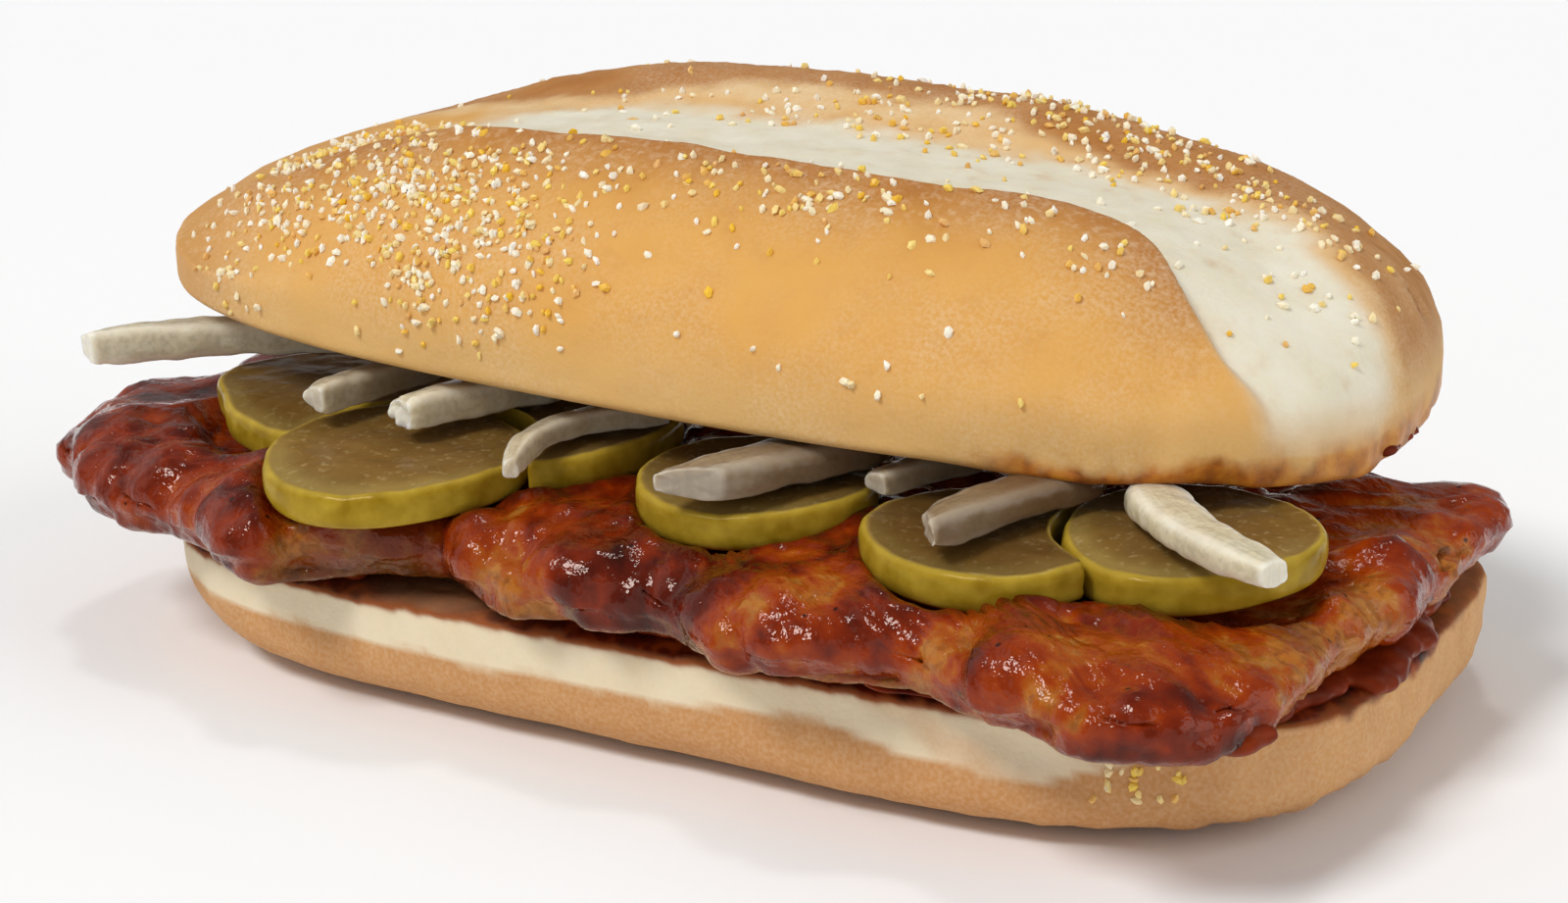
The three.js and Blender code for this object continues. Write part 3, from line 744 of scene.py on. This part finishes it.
# %% Onion finish
raw_onion, tree, here = finish("raw white onion")
lengthways = add(tree, "CombineXYZ", {"X": "along", "Y": "across"})
rows = add(tree, "Mapping", {"Vector": lengthways, "Scale": (0.15, 1.3, 1.0)})
streaks = add(tree, "TexNoise", {"Vector": rows, "Scale": 1.0, "Detail": 3.0})
veins = add(tree, "MapRange", {"Value": streaks, "From Min": 0.4, "From Max": 0.65})
rows_skin = add(tree, "Bump", {"Height": streaks, "Distance": 0.2 * MM, "Strength": 0.6})
colour = coats(tree, "#d6cbab", [
    (mottle(tree, here, 3, 0.35, 0.7, 3), 0.45, "#e6e0cd"),
    (mottle(tree, here, 0.7, 0.45, 0.6, 2), 0.4, "#b3a78c"),
    (veins, 0.35, "#aa9f86"),
    # Brown tint, partly sauce and partly painted shade.
    ("tea", 1, "#644526"),
    # Lighter cut ends, partly painted light.
    ("cut", 0.6, "#e6e2d6"),
    # Painted light along the thin edges.
    ("thin", 0.55, "#f2ecdc"),
])
surface(tree, {
    "Base Color": colour, "Roughness": 0.2,
    "Normal": fine_relief(tree, here, 0.8, 1.0, 0.2, 0.4, Normal=rows_skin),
    "IOR": 1.36, "Specular IOR Level": 0.4,
    "Subsurface Weight": 0.85, "Subsurface Radius": (1.0, 0.85, 0.6), "Subsurface Scale": 2 * MM,
})

for i, strip in enumerate(ONIONS, 1):
    mesh, zones = onion_mesh(strip, f"onion_{i}", 40 + 2 * i)
    piece(f"onion_strip_{i}", mesh, raw_onion, "onion", [f"onion_{i}"], **zones)

# %% [markdown]
# ## The crown
#
# Before baking, a blade opened the top of the dough along its length. In the
# oven the score spread into a wide pale band with a sharp lip in front and a
# soft slope behind, and a crest browned on each side of it. The crown then sank
# onto the filling. The form below is the same one as in the model, with a
# crisper lip, because this mesh has cells of about 0.6 mm.

# %% Crown form
CROWN = dict(half=(73.5, 38), plan=2.8, top=2.4, bottom=8, rim=4, above=20.2, below=4,
             turn=(1.5, 2.4, 0), centre=(-7.9, 9.5))


def score_front(x):
    """Where the lip of the score lies, across the crown."""
    return -19.5 + 4 * bump(x, 43, 12) - 4.3 * ramp(x, 46, 64)


def score_back(x):
    """Where the floor of the score begins to rise again."""
    return 0.5 - 16 * ramp(x, 46, 72)


def crown_point(u, v, w, lip=4.0, wander=0.0):
    """Places on the crown's form before it is turned, and the directions out of it."""
    points, out = loaf(CROWN, u, v, w)
    length, width = CROWN["half"]
    x, y, z = points.T.copy()
    ends = np.maximum(0, 1 - np.abs(x / length) ** 4)
    front = score_front(x) + wander
    opened = ramp(y, front - 0.5, front - 0.5 + lip)
    closed = 1 - ramp(y, score_back(x), score_back(x) + 14)
    relief = 1.5 * bump(np.abs(y), 19.5, 8) * ends - 2.5 * opened * closed * ramp(x, -56, -22)
    upper = ramp(w, 0, 0.6)
    raised = points + out * (relief * upper)[:, None]
    corner = ((raised[:, 0] / length) * (raised[:, 1] / width)) ** 2
    raised[:, 2] -= (9 * corner + 3.6 * ramp(-raised[:, 0], 22, 62)) * upper
    points[:, 2] -= 4.5 * (1 - ramp(np.abs(x), 40, 66)) * bump(y, 8, 17) * ramp(-w, 0.5, 1)
    points = np.where((w >= 0)[:, None], raised, points)
    x, y = points[:, 0], points[:, 1]
    droop = 1.6 * ramp(x, 60, 72) + 5 * (1 - ramp(np.abs(x), 34, 64)) * ramp(y, 12, 36)
    points[:, 2] -= droop * (1 - upper)
    points[:, 0] -= 2.5 * ramp(points[:, 0], 40, length)
    return points, out


mesh = cut_cube((236, 124, 30))
u, v, w = places(mesh).T
plain, _ = crown_point(u, v, w)
wander = 0.5 * lumps(plain, 9, 2, seed=61)
local, _ = crown_point(u, v, w, 2, wander)
points = seated(local, CROWN, "crown")
x, y, z = local.T
placed_x, placed_z = points[:, 0], points[:, 2]

# %% Crown relief
upper = ramp(w, -0.1, 0.25)
front = score_front(x) + wander
soft_lip = 1.6 * ramp(x, 44, 58)
opened = ramp(y, front - 0.2 - soft_lip, front + 0.7 + soft_lip)
opened *= ramp(x + 3 * lumps(points, 5, 2, seed=71), -40, -28)
torn = lumps(points, 5, 3, seed=70)
back = 1.2 - 10.5 * ramp(x, 54, 72) - 6 * ramp(-x, 18, 34)
band = opened * (1 - ramp(y + 2.5 * torn, back - 1, back + 5)) * upper
near, right_hem = y < 5, ramp(placed_x, 26, 44)
pleats = np.sin(x / 1.1 + 1.6 * np.sin(x / 3.1)) * bump(x, 54, 10) * (1 - ramp(z, 3, 12)) * near
fold = bump(placed_x + 0.42 * (placed_z - 31.5), 51, 1.1) * near
fold *= ramp(placed_z, 30, 33) * (1 - ramp(placed_z, 40, 46))
height = 0.35 * lumps(points, 17, 2, seed=62) + 0.14 * lumps(points, 5, 2, seed=63)
height += 0.04 * lumps(points, 1.2, 2, seed=64) + 0.14 * band * lumps(points, 3.2, 3, seed=65)
height += 0.16 * pleats * ramp(z, 0, 3) - 0.35 * fold * upper
height += 0.5 * right_hem * near * bump(z, 1.5, 2.5) * lumps(points, 4, 2, seed=72)
crack = bump(y + 0.8 * torn, back + 15, 0.7) + bump(y + 1.5 * torn, back + 18.5, 0.6)
crack *= ramp(lumps(points, 7, 2, seed=66), 0.05, 0.4) * ramp(x, 0, 25)
height -= 0.5 * crack * upper
height += 0.14 * ramp(y, back + 9, back + 14) * lumps(points, 1.6, 2, seed=73) * upper
placed = raise_skin(mesh, points, height * ramp(w, -0.9, -0.6))
hem_wave = 0.7 + 0.5 * lumps(points, 6, 1, seed=74)
placed[:, 2] -= 1.3 * right_hem * near * (1 - ramp(z, 0.5, 6)) * hem_wave
move_to(mesh, placed)

# %% Crown zones
near_crest = bump(y, front - 0.5, 6.5) * (y < front + 1) * (1 - 0.6 * ramp(x, 50, 68))
browned = 10.5 - 8 * ramp(-x, 5, 32) - 5.5 * ramp(x, 14, 38) - 10.5 * ramp(x, 54, 72)
far_crest = ramp(y + 1.5 * torn, browned - 1, browned + 2.5)
far_crest *= (1 - ramp(y, 27, 36)) * (1 - 0.15 * ramp(x, 54, 66))
down = 8 * ramp(x, 50, 62) * (y > front)
stain = right_hem * (1 - ramp(z + 1.5 * lumps(points, 4, 3, seed=68), 1.2, 3.5))
stain *= (y < 24) * (1 - 0.45 * ramp(placed_x, 50, 59))
crown_zones = dict(
    band=band,
    crest=np.clip(np.maximum(near_crest, far_crest) * ramp(z, 9 - down, 17 - down), 0, 1),
    behind=ramp(y + 3 * torn, back - 1, back + 8) * upper,
    low=1 - ramp(z, 2.5, 11 + 2 * lumps(points, 12, 1, seed=67)),
    stain=np.clip(1.5 * stain, 0, 1),
    floury=ramp(near_crest + 0.4 * lumps(points, 7, 2, seed=69), 0.25, 0.8) * (y < front + 1),
    nose=ramp(-x, 38, 64),
    crumb=ramp(-w, 0.9, 1),
    crack=np.clip(crack, 0, 1) * far_crest,
)

# %% [markdown]
# Crust browns where the heat reached it first, which is on the two crests. The
# slope behind the score and the lowest hem stay straw-coloured, and the right
# front of the hem has soaked up sauce. Flour left pale dust on the near crest.

# %% Crown finish
crown_crust, tree, here = finish("baked crust, golden")
broad = mottle(tree, here, 5, 0.3, 0.75, 3)
patches = mottle(tree, here, 13, 0.35, 0.65, 2)
straw = add(tree, "ValToRGB", {"Fac": broad}, stops=[(0.0, "#e6cba0"), (1.0, "#dab078")])
chestnut = add(tree, "ValToRGB", {"Fac": broad}, stops=[(0.0, "#b47636"), (1.0, "#a46426")])
bare_dough = add(tree, "ValToRGB", {"Fac": mottle(tree, here, 5, 0.3, 0.7, 4)},
                 stops=[(0.0, "#e8e2cf"), (1.0, "#dfd5ba")])
sauce_stain = add(tree, "ValToRGB", {"Fac": mottle(tree, here, 2.2, 0.3, 0.7, 3)},
                  stops=[(0.0, "#783404"), (1.0, "#cc8420"), (0.5, "#b0600a")])
colour = coats(tree, "#e0a857", [
    (patches, 0.4, "#d39a4c"),
    (broad, 0.3, "#cf9450"),
    ("low", 0.6, "#dfb97a"),
    ("nose", 0.7, "#bf8648"),
    ("behind", 0.8, straw),
    ("crest", 0.9, chestnut),
    ("crack", 0.7, "#8a5222"),
    ("floury", mottle(tree, here, 0.9, 0.5, 0.68, 4), 0.25, "#ecd2b0"),
    ("band", 1, bare_dough),
    (mottle(tree, here, 0.4, 0.35, 0.7), patches, 0.2, "#f6ead0"),
    (mottle(tree, here, 2.6, 0.55, 0.75, 4), broad, 0.35, "#c08848"),
    ("crumb", 0.8, "#c79a62"),
    ("stain", 0.9, sauce_stain),
])
surface(tree, {
    "Base Color": colour,
    "Roughness": add(tree, "MapRange", {"Value": "stain", "To Min": 0.62, "To Max": 0.3}),
    "Normal": fine_relief(tree, here, 0.45, 3.0, 0.14, 0.4),
    "IOR": 1.4, "Specular IOR Level": 0.25,
    "Subsurface Weight": 0.15, "Subsurface Radius": (1.0, 0.6, 0.3), "Subsurface Scale": 2 * MM,
})
crown_skin, crown_out = places(mesh) / MM, outward(mesh)
crown_room = np.array([sum(face.calc_area() for face in vertex.link_faces) for vertex in mesh.verts])
piece("crown_loaf", mesh, crown_crust, "crust", ["crown"], **crown_zones)

# %% [markdown]
# ## Cornmeal grits
#
# Grits are cracked kernels, about a millimetre across, white, cream or yellow.
# The largest are part of the crown's solid, so they are drawn in the same order
# from the same seed and fall in the same places. Smaller ones follow: they are
# strewn over the raised skin, thickly on the left lobe and in patches along both
# crests. A vertex is picked more often where more skin belongs to it.

# %% Grits of the solid
def draws(seed):
    """A repeatable draw between 0 and 1."""
    state = seed
    while True:
        state = (state * 1664525 + 1013904223) % 4294967296
        yield state / 4294967296


def grit_density(u, climb):
    """How likely a grit is, by its place along the crown and how far up and over it is."""
    left = ramp(u, -1.05, -0.75) * (1 - ramp(u, -0.25, 0.1)) * ramp(climb, 0.3, 0.7)
    on_lobe = left * (1 - ramp(climb, 1.4, 1.6))
    on_crest = 0.3 * ramp(climb, 0.9, 1.2) * (1 - ramp(climb, 1.45, 1.55)) * (1 - ramp(u, 0.5, 0.9))
    on_back = 0.22 * bump(climb, 2.5, 0.2) * ramp(u, -0.8, -0.3)
    on_score = 0.05 * bump(climb, 1.9, 0.3) * ramp(u, 0, 0.4)
    return on_lobe + on_crest + on_back + on_score + 0.03


FUSED = 112
draw = draws(7)
spread = []
while len(spread) < FUSED:
    u, climb = next(draw) * 1.8 - 0.95, 0.25 + next(draw) * 2.5
    if next(draw) < grit_density(u, climb):
        spread.append((u, max(-1, climb - 2), min(1, climb), next(draw) * 6))
u, v, w, turns = np.array(spread).T
centres, out = crown_point(u, v, w)
radii = 0.68 - 0.16 * np.arange(FUSED) / FUSED
centres -= out * (0.2 * radii)[:, None]
centres = seated(np.append(centres, plain, 0), CROWN, "crown")[:FUSED]

# %% Where the loose grits lie thickly
PATCHES = [
    (-66, -14, 44, 4, 0.5), (-60, -14, 47, 5, 1.2), (-55, -8, 51, 5, 1.3), (-50, -3, 53, 5, 1),
    (-65, -19, 40, 4, 0.15), (-56, -21, 43, 6, 0.5), (-50, -19, 47, 5, 1), (-43, -18, 50, 6, 1.3),
    (-37, -20, 49.5, 6, 1.6), (-31, -22, 49, 6, 2), (-25, -24, 47.5, 6, 2.2), (-27, -19, 52, 5, 1.3),
    (-18, -24.5, 47.6, 5, 1.4), (-28, -26, 45, 5, 1.5), (-20, -27, 44.5, 5, 1.1),
    (-22, -17, 54, 4, 0.9), (-14, -26, 46, 5, 0.8), (-12, -18, 53, 4, 0.6), (-3, -15, 54.5, 3, 1),
    (8, -14.5, 54, 3.5, 1.6), (4, -18, 52.5, 4, 0.6), (15, -14.5, 53, 3, 0.9), (12, -18, 51.5, 3, 0.5),
    (29, -12.5, 50.5, 3.5, 0.9), (40, -13, 47.5, 3.5, 1.2), (22, -16, 50, 4, 0.4),
    (-26, 13, 55.5, 5, 0.5), (-8, 14, 55.5, 5, 0.5), (4, 13, 54.7, 5, 0.7), (17, 14, 53.6, 5, 0.8),
    (31, 13.4, 51.6, 4, 0.8), (43, 9.5, 48.5, 4, 0.6), (53, 0, 44, 4, 0.4), (57, 2.5, 42.6, 3, 0.5),
    (14, 24, 56, 6, 0.8), (24, 22, 55, 6, 0.9), (33, 20, 53.5, 5, 1), (41, 18, 51.5, 5, 1),
    (49, 15, 48.5, 5, 0.8), (55, 12.5, 46, 4, 0.5), (0, 22, 56, 9, 0.3), (-58, -22, 38, 3, 0.2),
]
LOOSE = 1500
ASTRAY = 0.9  # how far a grit lies from its vertex, so that no rows show


def strewn(skin, thickly, count):
    """Vertices picked by chance, most often where they lie thickly."""
    chosen = []
    while len(chosen) < count:
        at = int(next(draw) * len(skin))
        if next(draw) < thickly[at]:
            chosen.append(at)
    return chosen


# %% Loose grits
thickly = (spots(crown_skin, PATCHES) + 0.02 * (crown_skin[:, 2] > 36)) * crown_room / crown_room.max()
chosen = strewn(crown_skin, thickly, LOOSE)
shrink = np.array([next(draw) for _ in chosen])
loose_radii = 0.54 - 0.27 * shrink
upward = crown_out[chosen]
astray = np.array([[next(draw) - 0.5 for _ in range(3)] for _ in chosen])
astray -= upward * (astray * upward).sum(1)[:, None]
loose = crown_skin[chosen] + ASTRAY * astray + upward * (0.3 * loose_radii)[:, None]
centres = np.append(centres, loose, 0)
radii = np.append(radii, loose_radii)
turns = np.append(turns, 6 * shrink)

# %% Cracked grains
chip = draws(11)


def cracked_grains(centres, radii, turns):
    """Crooked little grains, each with one shade of corn."""
    mesh, kernel = bmesh.new(), []
    for centre, turn, radius in zip(centres, turns, radii):
        middle, shade = Vector(centre) * MM, next(chip)
        pose = (Matrix.Translation(middle) @ Matrix.Rotation(turn, 4, "X") @ Matrix.Rotation(2 * turn, 4, "Y")
                @ Matrix.Rotation(turn, 4, "Z") @ Matrix.Diagonal((1.25, 0.9, 0.75, 1)))
        made = bmesh.ops.create_icosphere(mesh, subdivisions=1, radius=radius * MM, matrix=pose)["verts"]
        for vertex in made:
            vertex.co = middle + (vertex.co - middle) * (0.7 + 0.6 * next(chip))
            kernel.append(shade)
    return mesh, kernel


cornmeal, tree, here = finish("cracked corn kernels")
colour = add(tree, "ValToRGB", {"Fac": "kernel"}, stops=[
    (0.0, "#fff8e8"), (1.0, "#f4c01c"), (0.4, "#fbeccb"), (0.58, "#f4d896"), (0.74, "#f6d258"),
    (0.87, "#e4b06a")])
surface(tree, {
    "Base Color": colour, "Roughness": 0.4, "IOR": 1.5,
    "Subsurface Weight": 0.3, "Subsurface Radius": (1.0, 0.8, 0.4), "Subsurface Scale": 0.5 * MM,
})
mesh, kernel = cracked_grains(centres, radii, turns)
piece("crown_grits", mesh, cornmeal, "crust", flat=True, kernel=kernel)

# %% Grits on the heel
# A few stuck to its front, where they are all yellow.
ON_HEEL = 22
HEEL_PATCH = [(51, -35.4, 7.9, 1.6, 1), (54, -34.4, 8.3, 1.6, 1), (56, -33.6, 8, 1.3, 0.6)]
chosen = strewn(heel_skin, spots(heel_skin, HEEL_PATCH), ON_HEEL)
heel_radii = [0.38 + 0.2 * next(draw) for _ in chosen]
mesh, kernel = cracked_grains(heel_skin[chosen], heel_radii, [6 * next(draw) for _ in chosen])
yellow = [0.45 + 0.4 * shade for shade in kernel]
piece("heel_grits", mesh, cornmeal, "bread", flat=True, kernel=yellow)

# %% [markdown]
# ## Loose sauce
#
# Sauce has run off the patty onto the heel, and some clings under the crown.
# Each pool is a string of flattened balls that are melted into one skin, as
# drops join on a plate: a voxel remesh merges them and a smoothing pass rounds
# what is left.

# %% Sauce finish
syrup, tree, here = finish("tomato syrup")
colour = add(tree, "ValToRGB", {"Fac": mottle(tree, here, 4, 0.3, 0.7, 3)},
             stops=[(0.0, "#4e1208"), (1.0, "#86300f")])
surface(tree, {
    "Base Color": colour, "Roughness": 0.28,
    "Normal": fine_relief(tree, here, 2.5, 1.0, 0.3, 0.3),
    "IOR": 1.4, "Specular IOR Level": 0.2, "Specular Tint": "#ffc8a4",
    "Subsurface Weight": 0.2, "Subsurface Radius": (1.0, 0.25, 0.1), "Subsurface Scale": 1.2 * MM,
})


# %% Sauce pools
def melted(name, drops, voxel):
    """Drops given as x, y, z and three radii become one smooth skin."""
    mesh = bmesh.new()
    for x, y, z, *radii in drops:
        pose = Matrix.Translation((x * MM, y * MM, z * MM)) @ Matrix.Diagonal((*[r * MM for r in radii], 1))
        bmesh.ops.create_icosphere(mesh, subdivisions=3, radius=1, matrix=pose)
    thing = put(name, mesh_data(name, mesh))
    join = thing.modifiers.new("join", "REMESH")
    join.mode, join.voxel_size = "VOXEL", voxel * MM
    calm = thing.modifiers.new("calm", "SMOOTH")
    calm.factor, calm.iterations = 0.5, 16
    evaluated = thing.evaluated_get(bpy.context.evaluated_depsgraph_get())
    skin = bmesh.new()
    skin.from_mesh(evaluated.to_mesh())
    bpy.data.objects.remove(thing)
    return piece(name, skin, syrup, "sauced_meat")


flow = draws(23)


def run_of_drops(start, end, count, size, thick):
    """Flattened drops strewn between two places."""
    drops = []
    for i in range(count):
        x, y, z = np.add(start, np.subtract(end, start) * i / (count - 1))
        wide = size * (0.7 + 0.6 * next(flow))
        x, y = x + next(flow) - 0.5, y + 1.6 * (next(flow) - 0.5)
        drops.append((x, y, z, wide * 1.4, wide, thick * (0.75 + 0.5 * next(flow))))
    return drops


# Each pool has the size of its voxels and its runs, from one place to another,
# with the number of drops, their half width and their half thickness.
POOLS = dict(
    sauce_on_heel=(0.3, [
        ((-6, -34.8, 13.75), (14, -33.8, 13.75), 9, 2.1, 0.6),
        ((17, -35.2, 13.7), (37, -37.4, 13.7), 9, 2.1, 0.6),
        ((-52, -33, 13.7), (-34, -34, 13.7), 8, 1.5, 0.6),
    ]),
    sauce_at_right_end=(0.35, [
        ((59, -30, 13.6), (65.6, -10, 13.6), 18, 2.6, 1.4),
        ((65.6, -8, 13.8), (64.8, 8, 13.8), 14, 2.5, 1.4),
        ((66.6, -17, 12.9), (67, -13, 12.6), 4, 1.4, 1.3),
        ((67.2, -4, 12.9), (67.2, 0, 12.6), 4, 1.4, 1.3),
    ]),
    sauce_overhang=(0.35, [((52, -44.2, 16.2), (65, -39.4, 16.2), 18, 2, 1.5)]),
    sauce_on_crown=(0.25, [((61, 2, 29.4), (61, 9, 29.6), 9, 1.7, 0.8)]),
)
for name, (voxel, runs) in POOLS.items():
    melted(name, [drop for run in runs for drop in run_of_drops(*run)], voxel)

# %% [markdown]
# ## Stage and light
#
# The sandwich stands on a plain pale floor. The key light hangs high in front
# of it on the left and is broad, as a softbox is. Broader and weaker ones fill
# the right, the left and the front. A small one high behind draws bright edges
# on what is wet, and a pale sky keeps the shadows open.

# %% Floor
mesh = bmesh.new()
bmesh.ops.create_grid(mesh, x_segments=1, y_segments=1, size=6)
floor = put("floor", mesh_data("floor", mesh))
paper, tree, here = finish("white paper")
surface(tree, {"Base Color": "#ffffff", "Roughness": 0.9, "Specular IOR Level": 0.1})
floor.data.materials.append(paper)

# %% Lights
# Each light's azimuth, elevation and width in degrees, as seen from the food,
# and its strength.
LIGHTS = dict(
    key=(-25, 52, 18, 1.65),
    fill=(100, 28, 50, 0.8),
    side=(-75, 30, 60, 0.35),
    front=(15, 14, 50, 0.32),
    top=(205, 76, 8, 0.3),
)
for name, (azimuth, elevation, width, strength) in LIGHTS.items():
    light = bpy.data.lights.new(name, "SUN")
    light.angle, light.energy = math.radians(width), strength
    put(name, light).matrix_world = aimed(azimuth, elevation)

sky = bpy.data.worlds.new("pale sky")
sky.use_nodes = True
glow = sky.node_tree.nodes["Background"].inputs
glow["Color"].default_value, glow["Strength"].default_value = linear("#ffffff"), 0.26
sky.node_tree.nodes["Background"].inputs["Color"].default_value = linear("#ffffff")
sky.node_tree.nodes["Background"].inputs["Strength"].default_value = 0.26
bpy.context.scene.world = sky
bpy.context.scene.view_settings.view_transform = "Standard"
